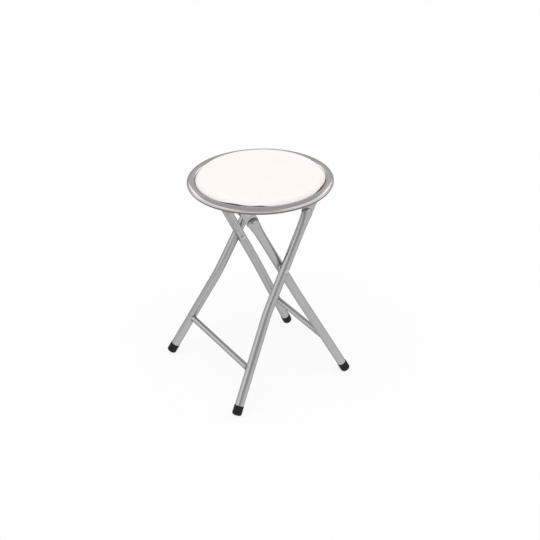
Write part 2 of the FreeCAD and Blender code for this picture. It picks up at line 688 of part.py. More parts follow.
def screw_spots():
    """Places of the screws under the feet of the four brackets."""
    hinge_y = sizes["hinge_face"] - (sizes["hinge_wall"] + sizes["hinge_foot_width"]) / 2
    hook_y = sizes["hook_face"] - (sizes["hook_wall"] + sizes["hook_foot_width"]) / 2
    hook_x = lug_x("inner") + (sizes["hook_front"] - sizes["hook_reach"]) / 2
    hinge_z = sizes["pan_underside_z"] - sizes["hinge_wall"]
    hook_z = sizes["pan_underside_z"] - sizes["hook_wall"]
    spots = []
    for side in (1, -1):
        for end in (1, -1):
            spots.append((lug_x("outer") + end * sizes["hinge_screw_spread"], side * hinge_y, hinge_z))
            spots.append((hook_x + end * sizes["hook_screw_spread"], side * hook_y, hook_z))
    return spots


def seat_hardware():
    """Brackets, their screws and the hinge rivets and washers of the seat."""
    screws = screw_group("bracket_screws", screw_spots())
    hinge, hinge_hole = hinge_bracket()
    washer_low = sizes["hinge_face"] + sizes["turning_gap"]
    rivet_place = place(lug_x("outer"), sizes["hinge_rivet_low"], sizes["outer_lug_z"], ALONG_Y)
    washer_place = place(lug_x("outer"), washer_low, sizes["outer_lug_z"], ALONG_Y)
    left = [
        cut("hinge_bracket_left", hinge, hinge_hole, screws),
        cut("catch_hook_left", catch_hook(), screws),
        turned("hinge_rivet_left", rivet_corners("hinge_rivet_length"), rivet_place),
        washer("hinge_washer_left", "hinge_washer_radius", "hinge_washer", washer_place),
    ]
    right = [mirror(piece.Name.replace("_left", "_right"), piece) for piece in left]
    return left + right, screws


def catch_rod():
    """Rod across the inner legs' flat ends, its ends turned down and riveted over."""
    right = [
        ("0", "0 - rod_shoulder - lug_thickness - rod_head_height"),
        ("rod_head_radius", "0 - rod_shoulder - lug_thickness - rod_head_height"),
        ("rod_head_radius", "0 - rod_shoulder - lug_thickness"),
        ("rod_end_radius", "0 - rod_shoulder - lug_thickness"),
        ("rod_end_radius", "0 - rod_shoulder"),
        ("rod_radius", "0 - rod_shoulder"),
    ]
    left = [
        ("rod_radius", "rod_shoulder"),
        ("rod_end_radius", "rod_shoulder"),
        ("rod_end_radius", "rod_shoulder + lug_thickness"),
        ("rod_head_radius", "rod_shoulder + lug_thickness"),
        ("rod_head_radius", "rod_shoulder + lug_thickness + rod_head_height"),
        ("0", "rod_shoulder + lug_thickness + rod_head_height"),
    ]
    where = place(lug_x("inner"), 0, sizes["inner_lug_z"], ALONG_Y)
    return turned("catch_rod", right + left, where)


def staples():
    """Staples that hold the cover's turned-under margin to the board."""
    wire = sizes["staple_wire"]
    crown_z = sizes["board_underside_z"] - sizes["cover_wall"] - wire
    width = sizes["staple_width"]
    pieces = []
    for index in range(STAPLE_COUNT):
        turn = Rotation(Vector(0, 0, 1), FULL_TURN * index / STAPLE_COUNT)
        stand = place(sizes["seat_shift"], 0, 0) * place(turn=turn)
        ring = sizes["staple_ring"]
        crown = box(f"staple_crown_{index}", "staple_wire", "staple_width", "staple_wire",
                    stand * place(ring, -width / 2, crown_z))
        legs = [
            box(f"staple_leg_{index}_{end}", "staple_wire", "staple_wire", "staple_leg",
                stand * place(ring, edge, crown_z))
            for end, edge in (("a", -width / 2), ("b", width / 2 - wire))
        ]
        pieces.append(fuse(f"staple_{index}", [crown] + legs))
    return group("cover_staples", pieces)


def seat_rim(pan_slot):
    """Rolled steel rim of oval section, slotted inside for the pan's edge."""
    ring = sizes["seat_radius"] - sizes["rim_width"] / 2
    upright = Rotation(Vector(1, 0, 0), 90)
    rings = []
    section_place = place(sizes["seat_shift"] + ring, 0, sizes["rim_mid_z"], upright)
    for name, wall in (("rim_outside", "0"), ("rim_hollow", "rim_wall")):
        half_width = f"rim_width / 2 - {wall}"
        half_height = f"rim_height / 2 - {wall}"
        section = ellipse(name + "_section", half_width, half_height, section_place)
        turning = doc.addObject("Part::Revolution", name)
        turning.Source = section
        turning.Base = Vector(sizes["seat_shift"], 0, 0)
        turning.Axis = Vector(0, 0, 1)
        turning.Angle = FULL_TURN
        turning.Solid = True
        rings.append(turning)
    return cut("seat_rim", rings[0], rings[1], pan_slot)


def seat_pan_corners(gap):
    """Half section of the pan, or of the slot for its edge where gap is more than 0."""
    low = f"pan_underside_z - {gap}"
    high = f"pan_underside_z + pan_wall + {gap}"
    dish = "pan_dish_radius - pan_dish_slope"
    return [
        ("0", f"{low} - pan_dish_depth"),
        (dish, f"{low} - pan_dish_depth"),
        ("pan_dish_radius", low),
        (f"pan_radius + {gap}", low),
        (f"pan_radius + {gap}", high),
        ("pan_dish_radius", high),
        (dish, f"{high} - pan_dish_depth"),
        ("0", f"{high} - pan_dish_depth"),
    ]


def pad_corners(inset):
    """Outside of the padded seat from its drawn-in side to the top of its crown."""
    return [
        (f"pad_neck_radius - {inset}", "pad_neck_z"),
        (f"pad_radius - {inset}", "pad_wide_z", f"pad_shoulder_bend - {inset}", 1),
        ("pad_shoulder_radius", f"pad_shoulder_z - {inset}", f"pad_crown_bend - {inset}", 1),
        ("pad_flat_radius", f"pad_top_z - {inset}"),
        ("0", f"pad_top_z - {inset}"),
    ]


def seat_layers(screws):
    """Rim, pan, board, foam and cover, from the outside in."""
    middle = place(sizes["seat_shift"], 0, 0)
    board_top = "board_underside_z + board_thickness"
    pan_slot = turned("pan_slot", seat_pan_corners("running_gap"), middle)
    pan = turned("seat_pan_whole", seat_pan_corners("0"), middle)
    board_corners = [
        ("0", "board_underside_z"),
        ("board_radius", "board_underside_z"),
        ("board_radius", board_top),
        ("0", board_top),
    ]
    board = turned("seat_board_whole", board_corners, middle)
    foam_corners = [("0", board_top), ("pad_neck_radius - cover_wall", board_top)]
    foam_corners += pad_corners("cover_wall")[1:]
    foam = turned("seat_foam", foam_corners, middle)

    inside = "pad_neck_radius - cover_wall"
    margin_low = "board_underside_z - cover_wall"
    cover_corners = [
        ("cover_margin_radius", "board_underside_z"),
        ("cover_margin_radius", margin_low),
        (f"{inside} - cover_wall", margin_low, "2 * cover_wall", 1),
        ("pad_neck_radius", "board_underside_z + cover_wall"),
    ]
    cover_corners += pad_corners("0")
    inner_side = pad_corners("cover_wall")
    cover_corners += [
        ("0", "pad_top_z - cover_wall"),
        ("pad_flat_radius", "pad_top_z - cover_wall", "pad_crown_bend - cover_wall", -1),
        ("pad_shoulder_radius", "pad_shoulder_z - cover_wall", "pad_shoulder_bend - cover_wall", -1),
        (inner_side[1][0], inner_side[1][1]),
        (inner_side[0][0], inner_side[0][1]),
        (inside, "board_underside_z"),
    ]
    cover = turned("seat_cover_whole", cover_corners, middle)
    pins = staples()
    return [
        seat_rim(pan_slot),
        cut("seat_pan", pan, screws),
        cut("seat_board", board, screws, pins),
        foam,
        cut("seat_cover", cover, pins),
        pins,
    ]


def build():
    outer_left, outer_right, outer_solid = leg_pair("outer", "rivet_radius + running_gap")
    inner_left, inner_right, inner_solid = leg_pair("inner", "rod_end_radius + running_gap")
    nodes = [outer_left, outer_right, inner_left, inner_right]
    nodes.append(crossbar("outer", "front_crossbar", outer_solid))
    nodes.append(crossbar("inner", "rear_crossbar", inner_solid))
    nodes += foot_pair("outer")
    nodes += foot_pair("inner")
    nodes += cross_pivot()
    nodes.append(catch_rod())
    hardware, screws = seat_hardware()
    nodes += hardware
    nodes.append(screws)
    nodes += seat_layers(screws)
    return nodes


def save(nodes):
    """Checks every object, then writes each sub-part's solid to its own file."""
    doc.recompute()
    failed = [item.Name for item in doc.Objects if {"Invalid", "Error"} & set(item.State)]
    if failed:
        raise RuntimeError(f"objects that failed: {failed}")
    for node in nodes:
        node.Label = node.Name
        if node.Shape.isNull() or not node.Shape.isValid():
            raise RuntimeError(f"bad shape: {node.Label}")
    os.makedirs("parts", exist_ok=True)
    for node in nodes:
        node.Shape.exportStep(f"parts/{node.Label}.step")
        print(node.Label, len(node.Shape.Solids), round(node.Shape.Volume, 1))


save(build())
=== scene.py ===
"""Looks of the folding stool: finishes, the padded seat, a white studio and the photograph's camera.

Everything is in metres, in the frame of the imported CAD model, which is never moved or reshaped here.
"""
import math
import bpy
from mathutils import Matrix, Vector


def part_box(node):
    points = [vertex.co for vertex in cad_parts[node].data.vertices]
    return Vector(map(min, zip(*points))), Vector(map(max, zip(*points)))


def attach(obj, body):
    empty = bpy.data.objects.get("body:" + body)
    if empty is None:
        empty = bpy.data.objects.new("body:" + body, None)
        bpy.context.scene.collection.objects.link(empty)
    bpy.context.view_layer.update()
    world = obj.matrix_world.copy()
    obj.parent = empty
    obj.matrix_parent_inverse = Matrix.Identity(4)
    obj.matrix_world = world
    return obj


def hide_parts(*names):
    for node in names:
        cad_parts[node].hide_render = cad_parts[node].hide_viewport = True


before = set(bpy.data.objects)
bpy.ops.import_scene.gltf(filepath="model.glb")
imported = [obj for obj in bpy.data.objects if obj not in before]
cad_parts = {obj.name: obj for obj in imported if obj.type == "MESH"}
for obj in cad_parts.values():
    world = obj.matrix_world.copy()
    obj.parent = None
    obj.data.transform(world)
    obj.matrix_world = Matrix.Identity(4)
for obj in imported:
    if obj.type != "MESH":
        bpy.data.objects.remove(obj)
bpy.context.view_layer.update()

from types import SimpleNamespace

import bmesh
import bpy
from mathutils import Matrix, Vector

MM = 0.001
HALF_TURN = 180.0

# Camera of the photograph: angles in degrees, lens and sensor in millimetres
CAMERA_AZIMUTH = -30.30
CAMERA_ELEVATION = 28.78
CAMERA_ROLL = -1.05
CAMERA_DISTANCE = 2.8831
CAMERA_AIM = Vector((0.02452, 0.0, 0.22479))
CAMERA_LENS = 90.626
CAMERA_SENSOR = 36.0

# Low walls, where 1 is white: angle in degrees from the camera's side to straight behind the stool, level
WALL_LEVELS = [
    (0.0, 0.50),
    (15.0, 0.50),
    (60.0, 0.78),
    (100.0, 0.72),
    (130.0, 0.35),
    (HALF_TURN, 0.70),
]
# Bright band above the walls, in the same way
BAND_LEVELS = [
    (0.0, 0.50),
    (12.0, 0.50),
    (52.0, 1.30),
    (92.0, 1.12),
    (116.0, 1.50),
    (146.0, 1.60),
    (157.0, 0.72),
    (HALF_TURN, 0.72),
]
# Elevations in degrees where the walls fade into the band and the band into the sky, and the sky's level
WALL_TOP = 6.0
BAND_START = 15.0
BAND_END = 28.0
SKY_START = 44.0
SKY_LEVEL = 0.46

# Floor: half its width, the dark and light grey of its clouds, and the share that glows where it is seen
FLOOR_HALF_WIDTH = 150.0
FLOOR_DARK = 0.90
FLOOR_LIGHT = 0.91
FLOOR_GLOW_SHARE = 0.85

# Lamps: name, azimuth and elevation in degrees, strength, angle of the soft disc in degrees
LAMPS = [
    ("key_lamp", -75.0, 70.0, 0.69, 50.0),
    ("fill_lamp", -10.0, 56.0, 0.72, 60.0),
]

# Red, green and blue shares of the silver paints' grey
FRAME_TINT = (1.015, 0.995, 1.005)
RIM_TINT = (1.04, 0.99, 0.97)

# Colours of the finishes that aren't grey
WHITE = (1.0, 1.0, 1.0, 1.0)
NYLON_DARK = (0.72, 0.71, 0.66, 1.0)
NYLON_LIGHT = (0.79, 0.78, 0.74, 1.0)
WOOD_DARK = (0.36, 0.24, 0.13, 1.0)
WOOD_LIGHT = (0.55, 0.41, 0.26, 1.0)
GLUE_LINE = (0.30, 0.19, 0.10, 1.0)
VINYL_DARK = (0.945, 0.899, 0.863, 1.0)
VINYL_LIGHT = (0.962, 0.917, 0.883, 1.0)

# Colour sockets of the Mix node, which share their names with its other sockets
MIX_COLOUR_FIRST = 6
MIX_COLOUR_SECOND = 7
MIX_COLOUR_RESULT = 2

# Section of the padded seat, set in from the cover's box
PAD_NECK_INSET = 2.1 * MM
PAD_NECK_TOP = 4.5 * MM
PAD_WIDE_RISE = 8.1 * MM
PAD_SHOULDER_INSET = 8.6 * MM
PAD_SHOULDER_POWER = 1.85
PAD_CROWN = 2.2 * MM
PAD_CORNER = 1.6 * MM
PAD_CORNER_MIDDLE = 0.5 * MM
PAD_MARGIN = 17.9 * MM
PAD_FIT = 0.05 * MM

# Uneven edge of the stretched cover: pulls between its corners and small ripples
PAD_PULL = 0.5 * MM
PAD_PULL_SIDES = 4
PAD_PULL_TURN = math.radians(-88.0)
PAD_RIPPLE = 0.15 * MM
PAD_RIPPLES = 9
# Places where the edge leaves its even circle: angle round the seat and reach in degrees, out, up
PAD_EDGE_BUMPS = [
    (-143.5, 12.0, 0.2 * MM, 3.6 * MM),
    (-120.0, 7.0, 0.2 * MM, 3.0 * MM),
    (-54.0, 7.0, 0.0, 2.2 * MM),
    (-28.0, 15.0, 1.3 * MM, 1.8 * MM),
    (152.0, 18.0, 0.9 * MM, 1.2 * MM),
]

# Mesh of the padded seat and the swell of its cover
PAD_CELLS = 48
PAD_DISC_SHARE = 0.78
PAD_CROWN_RINGS = 5
PAD_SHOULDER_RINGS = 7
PAD_SWELL = 1.5 * MM
CLOTH_FRAMES = 20
CLOTH_PRESSURE = 4.0


def direction(azimuth, elevation):
    """Unit vector from the object towards a viewer; azimuth 0 looks along +Y."""
    turn = math.radians(azimuth)
    rise = math.radians(elevation)
    return Vector((math.sin(turn) * math.cos(rise), -math.cos(turn) * math.cos(rise), math.sin(rise)))


def node(tree, kind, inputs=None, **settings):
    """Adds a shader node. An input given as a socket is linked, any other value is set."""
    made = tree.nodes.new(kind)
    for name, value in settings.items():
        setattr(made, name, value)
    for key, value in (inputs or {}).items():
        if isinstance(value, bpy.types.NodeSocket):
            tree.links.new(value, made.inputs[key])
        else:
            made.inputs[key].default_value = value
    return made


def new_tree(name):
    """A material with an empty node tree, and the place on the object as its texture space."""
    material = bpy.data.materials.new(name)
    material.use_nodes = True
    tree = material.node_tree
    tree.nodes.clear()
    place = node(tree, "ShaderNodeTexCoord").outputs["Object"]
    return material, tree, place


def show(tree, shader):
    """Joins a shader to the tree's new output."""
    node(tree, "ShaderNodeOutputMaterial", {"Surface": shader})


def principled(tree, inputs):
    """Shows a Principled surface with these inputs."""
    show(tree, node(tree, "ShaderNodeBsdfPrincipled", inputs).outputs["BSDF"])


def noise(tree, place, scale, detail=3.0, stretch=None):
    """Soft noise from 0 to 1, with its scale in waves per metre."""
    if stretch:
        place = node(tree, "ShaderNodeMapping", {"Vector": place, "Scale": stretch}).outputs["Vector"]
    inputs = {"Vector": place, "Scale": scale, "Detail": detail}
    return node(tree, "ShaderNodeTexNoise", inputs).outputs["Fac"]


def spread(tree, value, low=0.0, high=1.0, start=0.25, stop=0.75, **settings):
    """Maps a range of a value, by default a noise's middle range, onto low to high."""
    inputs = {"Value": value, "From Min": start, "From Max": stop, "To Min": low, "To Max": high}
    return node(tree, "ShaderNodeMapRange", inputs, **settings).outputs["Result"]


def blend(tree, share, first, second):
    """Value between two values."""
    return node(tree, "ShaderNodeMix", {"Factor": share, "A": first, "B": second}).outputs["Result"]


def mixed(tree, share, first, second):
    """Colour between two colours."""
    inputs = {"Factor": share, MIX_COLOUR_FIRST: first, MIX_COLOUR_SECOND: second}
    return node(tree, "ShaderNodeMix", inputs, data_type="RGBA").outputs[MIX_COLOUR_RESULT]


def mixed_shader(tree, share, first, second):
    """Shader between two shaders."""
    return node(tree, "ShaderNodeMixShader", {"Fac": share, 1: first, 2: second}).outputs["Shader"]


def maths(tree, operation, *values):
    """Result of a Math node."""
    return node(tree, "ShaderNodeMath", dict(enumerate(values)), operation=operation).outputs["Value"]


def vector_maths(tree, operation, *values, result="Vector"):
    """Result of a Vector Math node."""
    return node(tree, "ShaderNodeVectorMath", dict(enumerate(values)), operation=operation).outputs[result]


def bump(tree, height, distance, under=None):
    """Normal of a surface with this height pattern, over another one if given."""
    inputs = {"Height": height, "Distance": distance, "Strength": 1.0}
    if under:
        inputs["Normal"] = under
    return node(tree, "ShaderNodeBump", inputs).outputs["Normal"]


def tinted(level, tint):
    """Colour of a level, with its red, green and blue shares."""
    return tuple(level * share for share in tint) + (1.0,)


def grey(level, warmth=0.0):
    """Grey colour, a little warm or cool."""
    return tinted(level, (1 + warmth, 1.0, 1 - warmth))


def worn_edges(tree):
    """Share of wear, 1 on sharp outside edges."""
    sharpness = node(tree, "ShaderNodeNewGeometry").outputs["Pointiness"]
    return spread(tree, sharpness, start=0.56, stop=0.68)


def looks_down(tree):
    """Share in the object's own frame, from 0 on faces that look up a little to 1 on those looking down."""
    normal = node(tree, "ShaderNodeTexCoord").outputs["Normal"]
    height = node(tree, "ShaderNodeSeparateXYZ", {"Vector": normal}).outputs["Z"]
    return spread(tree, height, low=1.0, high=0.0, start=-0.20, stop=0.15)


def silver_paint(name, level, tint, roughness, underside=1.0):
    """Satin silver paint with metal flake, orange peel and slight clouding, and painted shade darkening the
    faces that look down if asked.
    """
    material, tree, place = new_tree(name)
    flake = spread(tree, noise(tree, place, 2600.0, detail=1.0))
    clouds = spread(tree, noise(tree, place, 22.0))
    cloudy = mixed(tree, clouds, tinted(level * 0.98, tint), tinted(level, tint))
    flaked = mixed(tree, flake, cloudy, tinted(level * 1.02, tint))
    # Faces that look down take the darker underside colour: painted shade.
    painted_shade_below = mixed(tree, looks_down(tree), flaked, tinted(level * underside, tint))
    peel = bump(tree, noise(tree, place, 420.0, detail=2.0), 0.005 * MM)
    principled(tree, {
        "Base Color": mixed(tree, worn_edges(tree), painted_shade_below, tinted(level * 1.2, tint)),
        "Metallic": 0.94,
        "Roughness": spread(tree, noise(tree, place, 60.0), roughness - 0.02, roughness + 0.03),
        "Specular Tint": grey(0.40),
        "Normal": bump(tree, flake, 0.0015 * MM, under=peel),
    })
    return material


def pan_paint(name):
    """Matt grey hammered paint on the seat's underside."""
    material, tree, place = new_tree(name)
    cells = node(tree, "ShaderNodeTexVoronoi", {"Vector": place, "Scale": 420.0}, feature="SMOOTH_F1")
    pits = cells.outputs["Distance"]
    clouds = spread(tree, noise(tree, place, 30.0))
    colour = mixed(tree, clouds, grey(0.36), grey(0.42))
    principled(tree, {
        "Base Color": mixed(tree, worn_edges(tree), colour, grey(0.50)),
        "Metallic": 0.5,
        "Roughness": spread(tree, pits, 0.42, 0.58),
        "Normal": bump(tree, pits, 0.12 * MM),
    })
    return material


def rubber(name):
    """Matt moulded rubber with a fine grain and dusty patches."""
    material, tree, place = new_tree(name)
    dust = spread(tree, noise(tree, place, 70.0, detail=5.0), start=0.45, stop=0.80)
    grain = noise(tree, place, 1800.0, detail=4.0)
    principled(tree, {
        "Base Color": mixed(tree, dust, grey(0.010), grey(0.018, 0.03)),
        "Roughness": spread(tree, grain, 0.52, 0.68),
        "Specular IOR Level": 0.20,
        "Normal": bump(tree, grain, 0.06 * MM),
    })
    return material


def zinc_steel(name, level, spangle):
    """Zinc plated steel with faint crystals, in crystals per metre, and fine drawing lines."""
    material, tree, place = new_tree(name)
    cells = node(tree, "ShaderNodeTexVoronoi", {"Vector": place, "Scale": spangle})
    crystal = node(tree, "ShaderNodeSeparateColor", {"Color": cells.outputs["Color"]}).outputs["Red"]
    lines = noise(tree, place, 900.0, stretch=(0.06, 1.0, 1.0))
    colour = mixed(tree, crystal, grey(level * 0.92, -0.01), grey(level * 1.05, 0.01))
    principled(tree, {
        "Base Color": mixed(tree, worn_edges(tree), colour, grey(level * 1.2)),
        "Metallic": 1.0,
        "Roughness": spread(tree, lines, 0.26, 0.40),
        "Normal": bump(tree, lines, 0.02 * MM),
    })
    return material


def nylon(name):
    """Natural nylon, slightly see-through at its edges."""
    material, tree, place = new_tree(name)
    clouds = spread(tree, noise(tree, place, 160.0))
    principled(tree, {
        "Base Color": mixed(tree, clouds, NYLON_DARK, NYLON_LIGHT),
        "Roughness": spread(tree, noise(tree, place, 700.0), 0.38, 0.50),
        "Subsurface Weight": 0.15,
        "Subsurface Scale": 0.6 * MM,
        "Normal": bump(tree, noise(tree, place, 1200.0), 0.02 * MM),
    })
    return material


def plywood(name):
    """Raw plywood: long grain on the faces and plies along the edge."""
    material, tree, place = new_tree(name)
    waves = {"Vector": place, "Scale": 88.0, "Distortion": 0.4}
    plies = node(tree, "ShaderNodeTexWave", waves, bands_direction="Z").outputs["Fac"]
    glue = spread(tree, plies, 0.0, 0.45)
    grain = noise(tree, place, 240.0, detail=6.0, stretch=(0.08, 1.0, 1.0))
    face = mixed(tree, grain, WOOD_DARK, WOOD_LIGHT)
    principled(tree, {
        "Base Color": mixed(tree, glue, face, GLUE_LINE),
        "Roughness": spread(tree, grain, 0.60, 0.80),
        "Normal": bump(tree, grain, 0.1 * MM),
    })
    return material


def white_vinyl(name):
    """Warm white vinyl: fine pebble grain, a soft gloss, slight clouding, and painted shade on the faces
    under its edge.
    """
    material, tree, place = new_tree(name)
    pebbles = node(tree, "ShaderNodeTexVoronoi", {"Vector": place, "Scale": 1300.0}, feature="SMOOTH_F1")
    grain = bump(tree, pebbles.outputs["Distance"], 0.05 * MM)
    pores = noise(tree, place, 3200.0, detail=2.0)
    clouds = spread(tree, noise(tree, place, 14.0))
    unshaded_vinyl = mixed(tree, clouds, VINYL_DARK, VINYL_LIGHT)
    principled(tree, {
        # Faces looking down turn near black: painted shade in the gap under the cover's edge.
        "Base Color": mixed(tree, looks_down(tree), unshaded_vinyl, grey(0.10, 0.05)),
        "Roughness": spread(tree, noise(tree, place, 90.0), 0.40, 0.52),
        "Specular IOR Level": 0.15,
        "Normal": bump(tree, pores, 0.01 * MM, under=grain),
    })
    return material


def paint_nodes(finishes):
    """Gives every shown CAD node the finish of its material slot."""
    for cad_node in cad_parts.values():
        slot = cad_node.material_slots[0]
        if slot.material.name in finishes:
            slot.material = finishes[slot.material.name]


def pad_section():
    """Sizes of the padded seat and points of its section as radius and height, from the CAD boxes."""
    low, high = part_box("seat_cover")
    board_low, board_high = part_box("seat_board")
    wide = (high.x - low.x) / 2
    shoulder = Vector((wide - PAD_SHOULDER_INSET, high.z - PAD_CROWN))
    return SimpleNamespace(
        centre=(low + high) / 2,
        base=low.z,
        disc=shoulder.x * PAD_DISC_SHARE,
        shoulder=shoulder,
        widest=Vector((wide, low.z + PAD_WIDE_RISE)),
        neck_top=Vector((wide - PAD_NECK_INSET, low.z + PAD_NECK_TOP)),
        margin=wide - PAD_MARGIN,
        board=(board_high.x - board_low.x) / 2 + PAD_FIT,
        board_top=board_high.z + PAD_FIT,
        board_underside=board_low.z - PAD_FIT,
    )


def crown_height(section, radius):
    """Height of the slack cover at a radius inside the shoulder."""
    slack_crown = PAD_CROWN - PAD_SWELL
    return section.shoulder.y + slack_crown * (1 - (radius / section.shoulder.x) ** 2)


def quarter_oval(top, side, count):
    """Points from a level top, excluding it, down to an upright side."""
    points = []
    for index in range(1, count + 1):
        turn = math.pi / 2 * index / count
        across = top.x + (side.x - top.x) * math.sin(turn) ** PAD_SHOULDER_POWER
        height = side.y + (top.y - side.y) * math.cos(turn) ** PAD_SHOULDER_POWER
        points.append(Vector((across, height)))
    return points


def outside_points(section):
    """Points of the cover from the middle disc over the shoulder and the neck to its margin underneath."""
    shoulder = section.shoulder
    neck = section.neck_top.x
    base = section.base
    points = []
    for step in range(1, PAD_CROWN_RINGS + 1):
        radius = section.disc + (shoulder.x - section.disc) * step / PAD_CROWN_RINGS
        points.append(Vector((radius, crown_height(section, radius))))
    points += quarter_oval(shoulder, section.widest, PAD_SHOULDER_RINGS)
    points += [section.widest.lerp(section.neck_top, 0.5), section.neck_top]
    points += [
        Vector((neck, base + PAD_CORNER)),
        Vector((neck - PAD_CORNER_MIDDLE, base + PAD_CORNER_MIDDLE)),
        Vector((neck - PAD_CORNER, base)),
        Vector((section.margin, base)),
    ]
    return points


def inside_points(section):
    """Points of the hollow round the board's edge, from the cover's margin to the board's top."""
    return [
        Vector((section.margin, section.board_underside)),
        Vector((section.board, section.board_underside)),
        Vector((section.board, section.board_top)),
    ]


def edge_offset(turn):
    """How far the cover's edge stands out from its even circle and above it, at an angle round the seat."""
    pull = PAD_PULL * math.cos(PAD_PULL_SIDES * (turn - PAD_PULL_TURN))
    out = pull + PAD_RIPPLE * math.sin(PAD_RIPPLES * turn)
    up = 0.0
    for angle, reach, bump_out, bump_up in PAD_EDGE_BUMPS:
        apart = math.remainder(math.degrees(turn) - angle, 2 * HALF_TURN)
        near = math.exp(-(apart / reach) ** 2)
        out += bump_out * near
        up += bump_up * near
    return out, up


def edge_shares(section, point):
    """Shares of the edge's offset out and up that a point of the cover takes."""
    shoulder = section.shoulder
    widest = section.widest
    neck_top = section.neck_top
    out_share = max(0.0, (point.x - shoulder.x) / (widest.x - shoulder.x))
    above_neck = max(0.0, (point.y - neck_top.y) / (widest.y - neck_top.y))
    return out_share, min(out_share, above_neck)


def disc_grid(form, section, height_at):
    """Middle disc in quads at heights by radius; returns its vertices by cell and its border in order."""
    centre = section.centre
    grid = []
    for row in range(PAD_CELLS + 1):
        line = []
        for column in range(PAD_CELLS + 1):
            u = 2 * column / PAD_CELLS - 1
            v = 2 * row / PAD_CELLS - 1
            x = u * math.sqrt(1 - v * v / 2) * section.disc
            y = v * math.sqrt(1 - u * u / 2) * section.disc
            line.append(form.verts.new((centre.x + x, centre.y + y, height_at(math.hypot(x, y)))))
        grid.append(line)
    border = grid[0][:-1] + [line[-1] for line in grid[:-1]]
    border += grid[-1][:0:-1] + [line[0] for line in grid[:0:-1]]
    return grid, border


def fill_grid(form, grid, upward):
    """Faces of a disc."""
    for low, high in zip(grid, grid[1:]):
        for index in range(len(low) - 1):
            corners = [low[index], low[index + 1], high[index + 1], high[index]]
            form.faces.new(corners if upward else corners[::-1])


def ring_round(form, border, centre, point, out_share=0.0, up_share=0.0):
    """Ring of vertices in the border's directions, at a section's point plus shares of the offset."""
    ring = []
    for corner in border:
        away = Vector((corner.co.x - centre.x, corner.co.y - centre.y, 0.0)).normalized()
        out, up = edge_offset(math.atan2(away.y, away.x))
        radius = point.x + out_share * out
        height = point.y + up_share * up
        ring.append(form.verts.new((centre.x + away.x * radius, centre.y + away.y * radius, height)))
    return ring


def bridge(form, first, second):
    """Quads between two rings of the same count; returns the second ring."""
    count = len(first)
    for index in range(count):
        after = (index + 1) % count
        form.faces.new([first[index], second[index], second[after], first[after]])
    return second


def pad_mesh(section):
    """Closed form of foam and cover, hollow where the board sits."""
    form = bmesh.new()
    top_grid, border = disc_grid(form, section, lambda radius: crown_height(section, radius))
    fill_grid(form, top_grid, upward=True)
    ring = border
    for point in outside_points(section):
        out_share, up_share = edge_shares(section, point)
        ring = bridge(form, ring, ring_round(form, border, section.centre, point, out_share, up_share))
    for point in inside_points(section):
        ring = bridge(form, ring, ring_round(form, border, section.centre, point))
    low_grid, low_border = disc_grid(form, section, lambda radius: section.board_top)
    fill_grid(form, low_grid, upward=False)
    bridge(form, ring, low_border)
    mesh = bpy.data.meshes.new("seat_cushion")
    form.to_mesh(mesh)
    form.free()
    return mesh


def hold_edge(pad, section):
    """Group of the points that stay: all but the crown inside the shoulder."""
    group = pad.vertex_groups.new(name="held")
    for vertex in pad.data.vertices:
        away = math.hypot(vertex.co.x - section.centre.x, vertex.co.y - section.centre.y)
        on_crown = away < section.shoulder.x - PAD_FIT and vertex.co.z > section.shoulder.y
        if not on_crown:
            group.add([vertex.index], 1.0, "REPLACE")
    return group


def blown_up(pad, group):
    """Places of the pad's points after its cover is blown up against the held points."""
    cloth = pad.modifiers.new("cover", "CLOTH")
    cloth.settings.vertex_group_mass = group.name
    cloth.settings.use_pressure = True
    cloth.settings.uniform_pressure_force = CLOTH_PRESSURE
    cloth.settings.effector_weights.gravity = 0.0
    cloth.collision_settings.use_collision = False
    cloth.point_cache.frame_start = 1
    cloth.point_cache.frame_end = CLOTH_FRAMES
    scene = bpy.context.scene
    for step in range(1, CLOTH_FRAMES + 1):
        scene.frame_set(step)
    graph = bpy.context.evaluated_depsgraph_get()
    places = [vertex.co.copy() for vertex in pad.evaluated_get(graph).data.vertices]
    pad.modifiers.remove(cloth)
    scene.frame_set(1)
    return places


def swell(pad, section):
    """Swells the cover, and caps how far a point moves, less towards the shoulder."""
    group = hold_edge(pad, section)
    before = [vertex.co.copy() for vertex in pad.data.vertices]
    after = blown_up(pad, group)
    pad.vertex_groups.remove(group)
    for vertex, start, end in zip(pad.data.vertices, before, after):
        move = end - start
        share = math.hypot(start.x - section.centre.x, start.y - section.centre.y) / section.shoulder.x
        cap = PAD_SWELL * max(0.0, 1 - share ** 2)
        if move.length > cap:
            move = move.normalized() * cap
        vertex.co = start + move


def make_cushion(vinyl):
    """The padded seat: foam and vinyl cover in one closed piece round the board's edge."""
    section = pad_section()
    mesh = pad_mesh(section)
    pad = bpy.data.objects.new("seat_cushion", mesh)
    bpy.context.scene.collection.objects.link(pad)
    swell(pad, section)
    mesh.materials.append(vinyl)
    mesh.shade_smooth()
    finer = pad.modifiers.new("finer", "SUBSURF")
    finer.levels = 1
    finer.render_levels = 1
    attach(pad, "seat")
    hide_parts("seat_cover", "seat_foam")


def floor_white(name):
    """Pale floor. What the camera and mirrors see of it glows, so that it stays white round the shadow."""
    material, tree, place = new_tree(name)
    clouds = spread(tree, noise(tree, place, 3.0))
    colour = mixed(tree, clouds, grey(FLOOR_DARK), grey(FLOOR_LIGHT))
    plain = node(tree, "ShaderNodeBsdfDiffuse", {"Color": colour}).outputs["BSDF"]
    glow = node(tree, "ShaderNodeEmission", {"Color": WHITE, "Strength": 1.0}).outputs["Emission"]
    path = node(tree, "ShaderNodeLightPath").outputs
    direct = maths(tree, "ADD", path["Is Camera Ray"], path["Is Glossy Ray"])
    seen = maths(tree, "ADD", direct, path["Is Transmission Ray"])
    lit = mixed_shader(tree, FLOOR_GLOW_SHARE, plain, glow)
    show(tree, mixed_shader(tree, seen, plain, lit))
    return material


